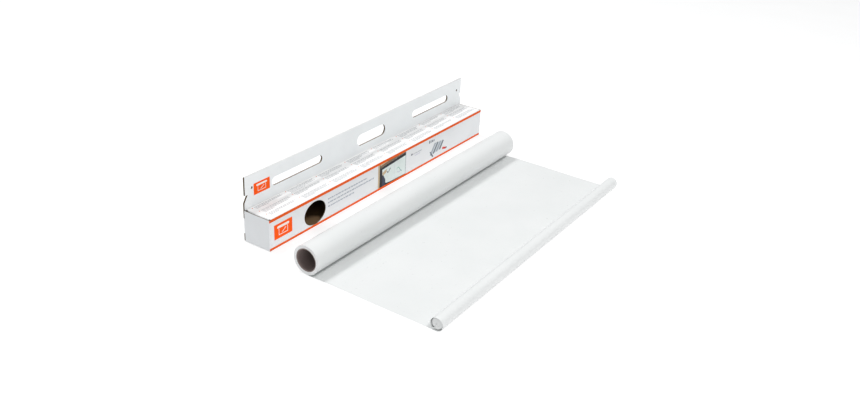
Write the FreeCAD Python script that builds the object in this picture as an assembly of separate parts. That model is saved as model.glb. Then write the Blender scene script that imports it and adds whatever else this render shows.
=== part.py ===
import FreeCAD, Part
import math
import os

# Roll of static-cling film on a paper core, partly unrolled, with its
# corrugated dispenser carton.  Millimetres, +Z up.
# Origin: centre of the carton's bottom face, where it rests.
# +X runs along the carton, the front panel faces -Y, the film lies towards -Y.

os.makedirs("parts", exist_ok=True)

# ---------------------------------------------------------------- dimensions
L = 642.0              # carton length
D = 56.0               # carton depth
H = 57.0               # height of the carton's body
HT = 115.0             # height to the top of the header
T = 1.5                # corrugated board thickness
GLUE = 0.1             # adhesive film between the header's two plies
GAP = 0.3              # clearance between pieces that move apart
HEAD_FOLD = T + GLUE / 2   # outer radius of the fold along the header's top

SCORE_END = 0.6        # half width of the score an end panel turns on
SCORE = 0.3            # half width of the other scores

# header
HEAD_INSET = 2.0       # header is this much narrower at each end
NOTCH_TOP = 82.0       # straight cut of the side notch
NOTCH_LOW = 69.0       # where its slanted side meets the edge
NOTCH_DEEP = 6.0
SLOT_X = (-193.5, 206.0)   # centres of the two belt slots
SLOT_LEN = 127.0
SLOT_H = 15.0
SLOT_Z = 84.0
HAND_X = 10.8          # hand slot between them
HAND_LEN = 85.0
HAND_H = 22.0
HAND_Z = 83.0
NAIL_X = 303.5         # hanging holes, centred at +-NAIL_X
NAIL_Z = 91.5
NAIL_R = 2.25

# oval window in the front panel
WIN_X, WIN_Z = -210.9, 26.6
WIN_A, WIN_B = 27.2, 21.6

# ends
END_Z0, END_Z1 = 0.5, 56.2
TAB_Z0, TAB_Z1 = 15.5, 41.5
TAB_LEN = 14.0
TAB_TILT = 20.0        # the tab leans this far past square, into the carton
RECESS_X = 7.0         # recess in the back panel's edge that the tab enters
RECESS_Z0, RECESS_Z1 = 14.5, 42.5
DUST_LEN = 25.0
DUST_Y1 = 20.0

# film and its core
FILM_W = 600.0
FILM_X0 = -336.9
ROLL_R = 24.9
CORE_R = 19.8
CORE_IN = 18.4
FILM_T = 0.25          # closed solid that stands in for a 0.04 mm film
ROLL_CLEAR = 0.32
ROLL_Y = -117.3
CURL_Y = -357.9
LEAD_Y0, LEAD_Y1 = -120.7, -113.0
CURL_R = (11.3, 10.6, 10.0)   # successive half turns of the curled end
CURL_LAST = 140.0             # degrees of the last one

XE = L / 2                    # outer face of an end panel
XI = XE - T                   # its inner face, and the end panel's axis
XD = XI - GAP - T             # dust flap's inner face, and its axis
YF = -D / 2
YB = D / 2
YP = YB - T - GLUE - T        # front face of the header's front ply
V = FreeCAD.Vector


# ------------------------------------------------------------------- helpers
def box(x0, x1, y0, y1, z0, z1):
    return Part.makeBox(x1 - x0, y1 - y0, z1 - z0, V(x0, y0, z0))


def outline(items, place):
    """Closed wire.  items: 2-D points; an item ('arc', mid, end) is an arc."""
    edges = []
    first = items[0]
    last = first
    for it in items[1:] + [first]:
        if isinstance(it[0], str):
            mid, end = it[1], it[2]
            edges.append(Part.Arc(place(*last), place(*mid), place(*end)).toShape())
            last = end
        else:
            if math.hypot(it[0] - last[0], it[1] - last[1]) > 1e-9:
                edges.append(Part.LineSegment(place(*last), place(*it)).toShape())
            last = it
    return Part.Wire(edges)


def prism(items, place, vec):
    return Part.Face(outline(items, place)).extrude(vec)


def fold_items(c, d0, n0, e0, d1, n1, e1, t=T):
    """Section of a folded strip of board.

    c is the fold's inner corner; each side leaves it along d, with its
    thickness along n, for a length e."""
    def at(*terms):
        x, y = c
        for k, v in terms:
            x += k * v[0]
            y += k * v[1]
        return (x, y)
    m = (n0[0] + n1[0], n0[1] + n1[1])
    q = math.hypot(*m)
    m = (m[0] / q, m[1] / q)
    items = [at((e0, d0)), at((e0, d0), (t, n0)), at((t, n0)),
             ("arc", at((t, m)), at((t, n1))), at((e1, d1), (t, n1)),
             at((e1, d1))]
    if e0 > 0 or e1 > 0:
        items.append(c)
    clean = []
    for it in items:
        if clean and not isinstance(it[0], str):
            prev = clean[-1]
            p = prev[2] if isinstance(prev[0], str) else prev
            if math.hypot(p[0] - it[0], p[1] - it[1]) < 1e-9:
                continue
        clean.append(it)
    return clean


def yz(x):
    return lambda a, b: V(x, a, b)


def xy(z):
    return lambda a, b: V(a, b, z)


def xz(y):
    return lambda a, b: V(a, y, b)


def one(shape):
    s = shape.removeSplitter()
    return s.Solids[0] if len(s.Solids) == 1 else s


def mirror(shape):
    """The same piece at the other end of the carton."""
    return shape.mirror(V(0, 0, 0), V(1, 0, 0))


def stadium(xc, zc, length, height, y0, y1):
    r = height / 2
    a = length / 2 - r
    items = [(xc - a, zc - r), (xc + a, zc - r),
             ("arc", (xc + a + r, zc), (xc + a, zc + r)), (xc - a, zc + r),
             ("arc", (xc - a - r, zc), (xc - a, zc - r))]
    return prism(items, xz(y0), V(0, y1 - y0, 0))


def drill(x, z, r, y0, y1):
    return Part.makeCylinder(r, y1 - y0, V(x, y0, z), V(0, 1, 0))


def header_cuts(y0, y1):
    cuts = [stadium(x, SLOT_Z, SLOT_LEN, SLOT_H, y0, y1) for x in SLOT_X]
    cuts.append(stadium(HAND_X, HAND_Z, HAND_LEN, HAND_H, y0, y1))
    cuts += [drill(s * NAIL_X, NAIL_Z, NAIL_R, y0, y1) for s in (-1, 1)]
    return cuts


def ply_outline(z0):
    """Outline of a ply from its foot to the fold along the header's top."""
    xh = XE - HEAD_INSET
    right = [(XE, z0), (XE, NOTCH_LOW), (xh - NOTCH_DEEP, NOTCH_TOP),
             (xh, NOTCH_TOP), (xh, HT - HEAD_FOLD)]
    return right + [(-x, z) for x, z in reversed(right)]


parts = {}

# ------------------------------------------------- carton: panels of the wrap
XW = XD - SCORE               # half length of the top and bottom panels
BF = (YF + T, T)              # inner corners of the four long folds
TF = (YF + T, H - T)
BB = (YB - T, T)
TH = (YP, H)                  # this one folds the other way

parts["bottom_panel"] = box(-XW, XW, BF[0], BB[0], 0, T)

front = box(-XI + SCORE_END, XI - SCORE_END, YF, YF + T, T, H - T)
front = front.fuse([
    prism(fold_items(BF, (1, 0), (0, -1), 0, (0, 1), (-1, 0), 0),
          yz(-XW), V(2 * XW, 0, 0)),
    prism(fold_items(TF, (0, -1), (-1, 0), 0, (1, 0), (0, 1), 0),
          yz(-XW), V(2 * XW, 0, 0))])
win = Part.Face(Part.Wire(Part.Ellipse(V(WIN_X, YF - 1, WIN_Z) + V(WIN_A, 0, 0),
                                       V(WIN_X, YF - 1, WIN_Z) + V(0, 0, WIN_B),
                                       V(WIN_X, YF - 1, WIN_Z)).toShape()))
front = front.cut(win.extrude(V(0, T + 2, 0)))
parts["front_panel"] = one(front)

top = box(-XW, XW, TF[0], TH[0], H - T, H)
top = top.fuse(prism(fold_items(TH, (-1, 0), (0, -1), 0, (0, 1), (1, 0), 0),
                     yz(-XW), V(2 * XW, 0, 0)))
parts["top_panel"] = one(top)

back = prism(ply_outline(T), xz(YB - T), V(0, T, 0))
back = back.cut(header_cuts(YB - T - 1, YB + 1) + [
    box(-XE - 1, -XE + RECESS_X, YB - T - 1, YB + 1, RECESS_Z0, RECESS_Z1),
    box(XE - RECESS_X, XE + 1, YB - T - 1, YB + 1, RECESS_Z0, RECESS_Z1)])
back = back.fuse(prism(fold_items(BB, (0, 1), (1, 0), 0, (-1, 0), (0, -1), 0),
                       yz(-XW), V(2 * XW, 0, 0)))
parts["back_panel"] = one(back)

ply = prism(ply_outline(H), xz(YP), V(0, T, 0))
parts["header_front_ply"] = one(ply.cut(header_cuts(YP - 1, YP + T + 1)))

# the two plies are one sheet, folded right over along the header's top
yc, zc = YP + HEAD_FOLD, HT - HEAD_FOLD
ri = GLUE / 2
turn = prism([(yc - HEAD_FOLD, zc),
              ("arc", (yc, zc + HEAD_FOLD), (yc + HEAD_FOLD, zc)),
              (yc + ri, zc), ("arc", (yc, zc + ri), (yc - ri, zc))],
             yz(-XE + HEAD_INSET), V(2 * (XE - HEAD_INSET), 0, 0))
parts["header_top_fold"] = one(turn)

# adhesive: two long beads and four short ones between the slots
g0, g1 = YP + T, YB - T
glue = [box(-308, 308, g0, g1, 98, 110), box(-308, 308, g0, g1, 59, 67)]
for x0, x1 in ((-296, -265), (-122, -40), (62, 134), (278, 296)):
    glue.append(box(x0, x1, g0, g1, 70, 95))
parts["header_adhesive"] = Part.makeCompound(glue)

# --------------------------------------------------- carton: ends, left side
# an end panel turns on the vertical score at the front corner
CE = (-XI, YF + T)
end_fold = prism(fold_items(CE, (1, 0), (0, -1), SCORE_END - 0.05,
                            (0, 1), (-1, 0), SCORE_END),
                 xy(END_Z0), V(0, 0, END_Z1 - END_Z0))
end_panel = box(-XE, -XI, YF + T + SCORE_END, YB - T - GAP, END_Z0, END_Z1)

# the tab on its rear edge turns through the back panel's recess
CT = (-XI, YB - T)
a = math.radians(TAB_TILT)
tab_d = (math.cos(a), -math.sin(a))
tab_n = (math.sin(a), math.cos(a))
# the arc covers more than a right angle, so its middle is given directly
mid = math.radians((180 + 90 - TAB_TILT) / 2)


def tab_fold_items():
    c = CT
    e0 = GAP
    e1 = SCORE
    p = [(c[0], c[1] - e0), (c[0] - T, c[1] - e0), (c[0] - T, c[1]),
         ("arc", (c[0] + T * math.cos(mid), c[1] + T * math.sin(mid)),
          (c[0] + T * tab_n[0], c[1] + T * tab_n[1])),
         (c[0] + T * tab_n[0] + (e1 - 0.05) * tab_d[0],
          c[1] + T * tab_n[1] + (e1 - 0.05) * tab_d[1]),
         (c[0] + (e1 - 0.05) * tab_d[0], c[1] + (e1 - 0.05) * tab_d[1]),
         c]
    return p


tab_fold = prism(tab_fold_items(), xy(TAB_Z0), V(0, 0, TAB_Z1 - TAB_Z0))


def tab_pt(s, n):
    return (CT[0] + s * tab_d[0] + n * tab_n[0], CT[1] + s * tab_d[1] + n * tab_n[1])


tab = prism([tab_pt(SCORE, 0), tab_pt(SCORE, T), tab_pt(TAB_LEN, T), tab_pt(TAB_LEN, 0)],
            xy(TAB_Z0), V(0, 0, TAB_Z1 - TAB_Z0))
# rounded free corners, so that it finds the recess
edges = [e for e in tab.Edges
         if len(e.Vertexes) == 2 and abs(e.Length - T) < 1e-6
         and all(abs(V(*tab_pt(TAB_LEN, 0), 0).distanceToPoint(V(v.X, v.Y, 0))) < T + 0.1
                 for v in e.Vertexes)]
tab = tab.makeFillet(4.0, edges)

# dust flaps hang from the top panel and stand on the bottom panel
Y0 = YF + T + GAP + 0.6


def dust(zc, up):
    """zc: height of the score's axis; up: +1 for the flap that stands up."""
    s0, s1 = SCORE, DUST_LEN
    pts = [(Y0, zc + up * s0), (DUST_Y1, zc + up * s0),
           (DUST_Y1 - 3, zc + up * s1), (Y0 + (s1 - s0), zc + up * s1)]
    return prism(pts, yz(-XD - T), V(T, 0, 0))


def dust_fold(zc, up):
    c = (-XD, zc)
    items = fold_items(c, (1, 0), (0, -up), SCORE - 0.05, (0, up), (-1, 0), SCORE)
    return prism(items, xz(Y0), V(0, DUST_Y1 - Y0, 0))


left = {
    "end_panel": end_panel,
    "end_fold": end_fold,
    "end_tab": tab,
    "tab_fold": tab_fold,
    "dust_flap_top": dust(H - T, -1),
    "dust_fold_top": dust_fold(H - T, -1),
    "dust_flap_bottom": dust(T, 1),
    "dust_fold_bottom": dust_fold(T, 1),
}
for name, shape in left.items():
    parts[name + "_left"] = one(shape)
    parts[name + "_right"] = one(mirror(shape))

# ------------------------------------------------------------ core and film
ROLL_Z = FILM_T + ROLL_CLEAR + ROLL_R
AX = V(1, 0, 0)


def ring(r0, r1, x0, length):
    c = V(x0, ROLL_Y, ROLL_Z)
    return Part.makeCylinder(r1, length, c, AX).cut(Part.makeCylinder(r0, length, c, AX))


parts["core_tube"] = ring(CORE_IN, CORE_R, FILM_X0, FILM_W)
parts["film_roll"] = ring(CORE_R, ROLL_R, FILM_X0, FILM_W)
parts["film_lead"] = box(FILM_X0, FILM_X0 + FILM_W, LEAD_Y0, LEAD_Y1, 0, FILM_T)
parts["film_sheet"] = box(FILM_X0, FILM_X0 + FILM_W, CURL_Y, LEAD_Y0 - GAP, 0, FILM_T)


def curl_items():
    """The free end of the film: half turns of falling radius, rising on -Y."""
    outer, inner = [], []
    r1, r2, r3 = CURL_R
    c1 = (CURL_Y, r1)
    c2 = (CURL_Y, 2 * r1 - r2)
    c3 = (CURL_Y, c2[1] - r2 + r3)

    def on(c, r, deg):
        q = math.radians(deg)
        return (c[0] + r * math.cos(q), c[1] + r * math.sin(q))
    end = -90 - CURL_LAST
    items = [on(c1, r1, -90),
             ("arc", on(c1, r1, -180), on(c1, r1, -270)),
             ("arc", on(c2, r2, 0), on(c2, r2, -90)),
             ("arc", on(c3, r3, -90 - CURL_LAST / 2), on(c3, r3, end)),
             on(c3, r3 - FILM_T, end),
             ("arc", on(c3, r3 - FILM_T, -90 - CURL_LAST / 2), on(c3, r3 - FILM_T, -90)),
             ("arc", on(c2, r2 - FILM_T, 0), on(c2, r2 - FILM_T, 90)),
             ("arc", on(c1, r1 - FILM_T, -180), on(c1, r1 - FILM_T, -90))]
    return items


parts["film_curl"] = prism(curl_items(), yz(FILM_X0), V(FILM_W, 0, 0))

for name, shape in parts.items():
    if not shape.isValid():
        raise RuntimeError("invalid shape: " + name)
    shape.exportStep("parts/" + name + ".step")
    bb = shape.BoundBox
    print("%-26s solids %d  vol %10.1f  x %8.2f %8.2f  y %8.2f %8.2f  z %7.2f %7.2f" % (
        name, len(shape.Solids), shape.Volume, bb.XMin, bb.XMax, bb.YMin, bb.YMax,
        bb.ZMin, bb.ZMax))
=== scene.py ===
import math
import random

import bpy
import numpy as np
from mathutils import Matrix, Vector
from mathutils.geometry import delaunay_2d_cdt


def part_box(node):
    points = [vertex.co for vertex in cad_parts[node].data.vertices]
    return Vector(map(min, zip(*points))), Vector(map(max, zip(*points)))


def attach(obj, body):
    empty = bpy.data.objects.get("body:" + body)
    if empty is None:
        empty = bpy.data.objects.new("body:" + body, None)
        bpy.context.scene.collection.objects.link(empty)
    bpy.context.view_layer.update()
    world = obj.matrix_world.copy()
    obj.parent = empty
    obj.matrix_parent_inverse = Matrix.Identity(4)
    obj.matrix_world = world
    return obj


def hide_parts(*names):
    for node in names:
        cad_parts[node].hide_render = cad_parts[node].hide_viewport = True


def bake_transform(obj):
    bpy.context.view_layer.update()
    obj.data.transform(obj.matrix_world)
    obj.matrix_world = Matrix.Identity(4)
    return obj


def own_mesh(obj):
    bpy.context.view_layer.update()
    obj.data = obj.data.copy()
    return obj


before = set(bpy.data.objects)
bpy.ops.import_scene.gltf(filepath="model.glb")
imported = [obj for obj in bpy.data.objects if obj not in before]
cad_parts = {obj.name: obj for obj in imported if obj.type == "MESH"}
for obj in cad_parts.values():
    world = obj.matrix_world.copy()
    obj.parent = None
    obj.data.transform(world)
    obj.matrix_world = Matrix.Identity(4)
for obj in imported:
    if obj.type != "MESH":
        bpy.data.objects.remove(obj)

MM = 0.001
rng = np.random.default_rng(686)
random.seed(686)
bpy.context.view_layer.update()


def ease(t):
    t = np.clip(t, 0.0, 1.0)
    return t * t * (3 - 2 * t)


# ---------------------------------------------------------------- materials
def node_material(name):
    m = bpy.data.materials.new(name)
    m.use_nodes = True
    nt = m.node_tree
    bsdf = nt.nodes["Principled BSDF"]
    return m, nt, bsdf


def coords(nt, scale=(1.0, 1.0, 1.0)):
    """Object coordinates in millimetres, times scale."""
    tc = nt.nodes.new("ShaderNodeTexCoord")
    mp = nt.nodes.new("ShaderNodeMapping")
    mp.inputs["Scale"].default_value = tuple(1000.0 * s for s in scale)
    nt.links.new(tc.outputs["Object"], mp.inputs["Vector"])
    return mp.outputs["Vector"]


def noise_tex(nt, vec, scale, detail=4.0, rough=0.55, dist=0.0):
    n = nt.nodes.new("ShaderNodeTexNoise")
    n.inputs["Scale"].default_value = scale
    n.inputs["Detail"].default_value = detail
    n.inputs["Roughness"].default_value = rough
    n.inputs["Distortion"].default_value = dist
    nt.links.new(vec, n.inputs["Vector"])
    return n.outputs["Fac"]


def ramp(nt, fac, stops):
    r = nt.nodes.new("ShaderNodeValToRGB")
    el = r.color_ramp.elements
    while len(el) < len(stops):
        el.new(0.5)
    for e, (p, c) in zip(el, stops):
        e.position = p
        e.color = (*c, 1.0)
    nt.links.new(fac, r.inputs["Fac"])
    return r.outputs["Color"]


def map_range(nt, fac, a, b, c, d):
    m = nt.nodes.new("ShaderNodeMapRange")
    m.inputs["From Min"].default_value = a
    m.inputs["From Max"].default_value = b
    m.inputs["To Min"].default_value = c
    m.inputs["To Max"].default_value = d
    nt.links.new(fac, m.inputs["Value"])
    return m.outputs["Result"]


def math_node(nt, op, a, b):
    m = nt.nodes.new("ShaderNodeMath")
    m.operation = op
    for i, v in enumerate((a, b)):
        if isinstance(v, (int, float)):
            m.inputs[i].default_value = v
        else:
            nt.links.new(v, m.inputs[i])
    return m.outputs[0]


def bump(nt, bsdf, layers):
    """layers: (height socket, distance in metres, strength); chained."""
    prev = None
    for h, dist, strength in layers:
        b = nt.nodes.new("ShaderNodeBump")
        b.inputs["Distance"].default_value = dist
        b.inputs["Strength"].default_value = strength
        nt.links.new(h, b.inputs["Height"])
        if prev is not None:
            nt.links.new(prev, b.inputs["Normal"])
        prev = b.outputs["Normal"]
    nt.links.new(prev, bsdf.inputs["Normal"])


def wave_tex(nt, vec, axis, period_mm, distortion=0.0):
    w = nt.nodes.new("ShaderNodeTexWave")
    w.wave_type = "BANDS"
    w.bands_direction = axis
    w.wave_profile = "SIN"
    # a band of this node repeats every 2 pi / (20 * scale) units
    w.inputs["Scale"].default_value = 2 * math.pi / (20.0 * period_mm)
    w.inputs["Distortion"].default_value = distortion
    w.inputs["Detail"].default_value = 1.0
    w.inputs["Detail Scale"].default_value = 0.05
    nt.links.new(vec, w.inputs["Vector"])
    return w.outputs["Fac"]


FLUTE = 3.3     # mm, pitch of the corrugated medium


def liner_material(name, color, axis, rough=0.62, spec=0.3, mottle=0.012):
    """Clay-coated white top liner, with the flutes just showing through."""
    m, nt, bsdf = node_material(name)
    v = coords(nt)
    cloud = noise_tex(nt, v, 0.035, 5.0, 0.6)
    fibre = noise_tex(nt, v, 1.9, 3.0, 0.6)
    dark = tuple(max(0.0, c * (1 - 2.2 * mottle) - 0.004) for c in color)
    light = tuple(min(1.0, c * (1 + mottle)) for c in color)
    mixed = math_node(nt, "ADD", math_node(nt, "MULTIPLY", cloud, 0.72),
                      math_node(nt, "MULTIPLY", fibre, 0.28))
    col = ramp(nt, mixed, [(0.30, dark), (0.52, color), (0.72, light)])
    nt.links.new(col, bsdf.inputs["Base Color"])
    nt.links.new(map_range(nt, fibre, 0.3, 0.7, rough - 0.07, rough + 0.08),
                 bsdf.inputs["Roughness"])
    bsdf.inputs["Specular IOR Level"].default_value = spec
    layers = [(fibre, 0.00004, 0.22)]
    if axis:
        layers.insert(0, (wave_tex(nt, v, axis, FLUTE, 0.6), 0.00007, 0.20))
    bump(nt, bsdf, layers)
    return m


# The two whites below are one white board in two tones. The upright faces' white is greyer and bluer,
# partly a pale printed tone and partly painted shade. The lighter white, for faces turned up to the
# light, is painted light.
WHITE = (0.790, 0.808, 0.822)
PAINTED_LIT_WHITE = (0.900, 0.900, 0.896)
ORANGE = (1.000, 0.104, 0.004)
MATS = {}
for _axis in ("X", "Y", "Z", ""):
    MATS["white" + _axis] = liner_material("white_liner" + _axis, WHITE, _axis)
    MATS["orange" + _axis] = liner_material("orange_ink" + _axis, ORANGE, _axis,
                                            rough=0.55, spec=0.08, mottle=0.012)
# the header's face: the same white board painted lighter than the front's, painted light
MATS["headZ"] = liner_material("header_liner_painted_lit", (0.868, 0.892, 0.900), "Z")
MATS["stripe"] = liner_material("stripe_ink", (0.820, 0.112, 0.011), "",
                                rough=0.55, spec=0.08, mottle=0.012)
MATS["stripeZ"] = liner_material("stripe_inkZ", (0.820, 0.112, 0.011), "Z",
                                 rough=0.55, spec=0.08, mottle=0.012)
# the top panel and the upward bends take the lighter white: painted light
MATS["brightY"] = liner_material("top_liner_painted_lit", PAINTED_LIT_WHITE, "Y")
MATS["bright"] = liner_material("fold_liner_painted_lit", PAINTED_LIT_WHITE, "")


def ink(name, color, rough=0.5):
    MATS[name] = liner_material("ink_" + name, color, "", rough=rough, mottle=0.04)


ink("text", (0.235, 0.275, 0.350))
ink("text_soft", (0.430, 0.445, 0.460))
ink("bullet", (0.700, 0.150, 0.050))
ink("label_light", (0.940, 0.860, 0.800))
ink("tan", (0.560, 0.430, 0.270))
ink("umber", (0.200, 0.125, 0.065))
ink("night", (0.012, 0.012, 0.016))
ink("navy", (0.030, 0.042, 0.075))
ink("board", (0.700, 0.780, 0.760))
ink("green", (0.130, 0.420, 0.330))
ink("slate", (0.130, 0.150, 0.180))
ink("slate_mid", (0.330, 0.370, 0.420))
ink("slate_pale", (0.560, 0.610, 0.650))
ink("red", (0.640, 0.035, 0.020))
ink("violet", (0.420, 0.400, 0.560))


def kraft_material(name, color, contrast=0.16, rough=0.88):
    m, nt, bsdf = node_material(name)
    v = coords(nt)
    fine = noise_tex(nt, v, 2.6, 6.0, 0.68)
    # long fibres, drawn out along the board's length
    vs = coords(nt, (0.22, 1.0, 1.0))
    fibre = noise_tex(nt, vs, 3.1, 5.0, 0.7, 0.8)
    mixed = math_node(nt, "ADD", math_node(nt, "MULTIPLY", fine, 0.45),
                      math_node(nt, "MULTIPLY", fibre, 0.55))
    dark = tuple(c * (1 - 1.6 * contrast) for c in color)
    light = tuple(min(1.0, c * (1 + contrast)) for c in color)
    nt.links.new(ramp(nt, mixed, [(0.30, dark), (0.5, color), (0.70, light)]),
                 bsdf.inputs["Base Color"])
    nt.links.new(map_range(nt, fine, 0.3, 0.7, rough - 0.06, rough + 0.06),
                 bsdf.inputs["Roughness"])
    bsdf.inputs["Specular IOR Level"].default_value = 0.25
    bump(nt, bsdf, [(mixed, 0.00012, 0.5)])
    return m


# the kraft's own brown, set darker as painted shade for the carton's inside seen through the window
MATS["kraft"] = kraft_material("kraft_liner", (0.215, 0.134, 0.068))
# a cut across the flutes is coloured darker than the kraft: its own brown with painted shade of the
# open hollows; a cut along them is coloured pale
MATS["edge"] = kraft_material("raw_board_edge_and_painted_shade", (0.110, 0.078, 0.046), 0.3)
MATS["edge_along"] = kraft_material("cut_along_flutes", (0.660, 0.620, 0.560), 0.14)
MATS["medium"] = kraft_material("flute_medium", (0.170, 0.115, 0.064), 0.22)


def film_material(name="white_film", through=0.0):
    """Glossy white film.  Where it stands free of what it lay on, a share of
    the light goes through it."""
    m, nt, bsdf = node_material(name)
    v = coords(nt)
    broad = noise_tex(nt, v, 0.012, 3.0, 0.5)
    haze = noise_tex(nt, v, 0.16, 4.0, 0.55)
    grain = noise_tex(nt, v, 3.2, 2.0, 0.5)
    # the see-through copy's colour is painted lighter than the lying film's: partly making up for the
    # light that goes through, partly painted light on the curl
    lift = 0.115 if through else 0.0
    nt.links.new(ramp(nt, broad, [(0.32, (0.762 + lift, 0.778 + lift, 0.774 + lift)),
                                  (0.68, (0.790 + lift, 0.802 + lift, 0.798 + lift))]),
                 bsdf.inputs["Base Color"])
    nt.links.new(map_range(nt, haze, 0.3, 0.7, 0.27, 0.37),
                 bsdf.inputs["Roughness"])
    bsdf.inputs["Specular IOR Level"].default_value = 0.42
    bump(nt, bsdf, [(broad, 0.0012, 0.12), (haze, 0.00010, 0.10),
                    (grain, 0.00002, 0.10)])
    if through:
        out = [n for n in nt.nodes if n.type == "OUTPUT_MATERIAL"][0]
        glow = nt.nodes.new("ShaderNodeBsdfTranslucent")
        glow.inputs["Color"].default_value = (0.900, 0.910, 0.906, 1.0)
        parts = nt.nodes.new("ShaderNodeSeparateXYZ")
        nt.links.new(v, parts.inputs["Vector"])
        mix = nt.nodes.new("ShaderNodeMixShader")
        nt.links.new(map_range(nt, parts.outputs["Z"], 0.8, 5.0,
                               0.0, through), mix.inputs["Fac"])
        nt.links.new(bsdf.outputs["BSDF"], mix.inputs[1])
        nt.links.new(glow.outputs["BSDF"], mix.inputs[2])
        nt.links.new(mix.outputs["Shader"], out.inputs["Surface"])
    return m


def film_edge_material():
    """The wound film's end faces: hundreds of turns, seen edge on."""
    m, nt, bsdf = node_material("wound_film_edge")
    v = coords(nt)
    n = noise_tex(nt, v, 0.9, 4.0, 0.6)
    nt.links.new(ramp(nt, n, [(0.3, (0.830, 0.836, 0.838)),
                              (0.7, (0.930, 0.934, 0.934))]),
                 bsdf.inputs["Base Color"])
    bsdf.inputs["Roughness"].default_value = 0.5
    bsdf.inputs["Subsurface Weight"].default_value = 0.15
    bsdf.inputs["Subsurface Radius"].default_value = (0.002, 0.002, 0.002)
    bsdf.inputs["Subsurface Scale"].default_value = 0.6
    bump(nt, bsdf, [(n, 0.00006, 0.25)])
    return m


MATS["film"] = film_material()
# the curl's film: see-through, and its colour painted lighter than the lying sheet's
MATS["film_curl_painted_lighter"] = film_material("white_film_curl_painted_lighter", 0.14)
MATS["film_edge"] = film_edge_material()
MATS["core"] = kraft_material("core_paper", (0.290, 0.232, 0.218), 0.26, 0.9)
MATS["core_edge"] = kraft_material("core_paper_edge", (0.300, 0.245, 0.225), 0.3, 0.92)


def adhesive_material():
    m, nt, bsdf = node_material("dry_adhesive")
    v = coords(nt)
    n = noise_tex(nt, v, 0.8, 5.0, 0.6)
    nt.links.new(ramp(nt, n, [(0.3, (0.70, 0.66, 0.55)), (0.7, (0.86, 0.83, 0.74))]),
                 bsdf.inputs["Base Color"])
    nt.links.new(map_range(nt, n, 0.3, 0.7, 0.25, 0.5), bsdf.inputs["Roughness"])
    bump(nt, bsdf, [(n, 0.0001, 0.4)])
    return m


MATS["adhesive"] = adhesive_material()


# -------------------------------------------------------------- mesh helpers
def make(name, verts, faces, mats, index=None, smooth=None):
    """verts in millimetres; index: material per face; smooth: flag per face."""
    me = bpy.data.meshes.new(name)
    me.from_pydata([tuple(float(c) * MM for c in v) for v in verts], [],
                   [tuple(int(i) for i in f) for f in faces])
    for m in mats:
        me.materials.append(MATS[m])
    if index is not None:
        me.polygons.foreach_set("material_index", np.asarray(index, np.int32))
    if smooth is not None:
        flags = np.full(len(faces), smooth) if isinstance(smooth, bool) else smooth
        me.polygons.foreach_set("use_smooth", np.asarray(flags, bool))
    me.validate()
    me.update()
    o = bpy.data.objects.new(name, me)
    bpy.context.scene.collection.objects.link(o)
    return o


def area2(loop):
    return sum(a[0] * b[1] - b[0] * a[1] for a, b in zip(loop, loop[1:] + loop[:1]))


def ccw(loop):
    return loop if area2(loop) > 0 else loop[::-1]


def rect(u0, u1, v0, v1):
    return [(u0, v0), (u1, v0), (u1, v1), (u0, v1)]


def arc(c, r, a0, a1, n, ry=None):
    ry = r if ry is None else ry
    return [(c[0] + r * math.cos(math.radians(a0 + (a1 - a0) * i / n)),
             c[1] + ry * math.sin(math.radians(a0 + (a1 - a0) * i / n)))
            for i in range(n + 1)]


def round_rect(u0, u1, v0, v1, r, n=5):
    return (arc((u1 - r, v0 + r), r, -90, 0, n) + arc((u1 - r, v1 - r), r, 0, 90, n)
            + arc((u0 + r, v1 - r), r, 90, 180, n) + arc((u0 + r, v0 + r), r, 180, 270, n))


def stadium(uc, vc, length, height, n=14):
    r = height / 2
    a = length / 2 - r
    return arc((uc + a, vc), r, -90, 90, n) + arc((uc - a, vc), r, 90, 270, n)


def oval(uc, vc, a, b, n=72):
    return arc((uc, vc), a, 0, 360 - 360 / n, n - 1, b)


def cut_plate(outline, holes, regions):
    """Triangles of a flat outline with holes, each with its region's number.

    regions: (loop, number); a later one lies over an earlier one."""
    loops = [ccw(list(outline))] + [ccw(list(h)) for h in holes] \
        + [ccw(list(r[0])) for r in regions]
    pts, faces = [], []
    for lp in loops:
        faces.append(list(range(len(pts), len(pts) + len(lp))))
        pts += [Vector(p) for p in lp]
    vs, es, fs, ov, oe, of = delaunay_2d_cdt(pts, [], faces, 0, 1e-5, True)
    keep, which = [], []
    nh = len(holes)
    for f, src in zip(fs, of):
        if 0 not in src or any(1 <= s <= nh for s in src):
            continue
        top = max(src)
        which.append(0 if top <= nh else regions[top - 1 - nh][1])
        keep.append(f)
    return [(v.x, v.y) for v in vs], keep, which


def liner(name, place, outline, holes, h_out, t, regions=(), mats=("whiteZ",),
          back="kraft", edge="edge", along=0):
    """One flat liner: a closed plate from h_out down to h_out - t.

    regions print on its outer face; their numbers index mats."""
    uv, tris, which = cut_plate(outline, holes, list(regions))
    used = sorted({i for f in tris for i in f})
    at = {i: k for k, i in enumerate(used)}
    n = len(used)
    verts = [place(*uv[i], h_out) for i in used] + [place(*uv[i], h_out - t) for i in used]
    faces, index = [], []
    mats = list(mats)
    nb, ne = len(mats), len(mats) + 1
    count = {}
    axis = along
    for f, w in zip(tris, which):
        g = [at[i] for i in f]
        faces.append(tuple(g))
        index.append(w)
        faces.append(tuple(i + n for i in reversed(g)))
        index.append(nb)
        for a, b in zip(g, g[1:] + g[:1]):
            count[(a, b)] = count.get((a, b), 0) + 1
    for (a, b) in list(count):
        if (b, a) not in count:
            faces.append((b, a, a + n, b + n))
            pa, pb = uv[used[a]], uv[used[b]]
            run = (abs(pa[0] - pb[0]), abs(pa[1] - pb[1]))
            index.append(ne + 1 if run[axis] > 1.2 * run[1 - axis] else ne)
    o = make(name, verts, faces, mats + [back, edge, "edge_along"], index)
    fix_normals(o)
    return o


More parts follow.
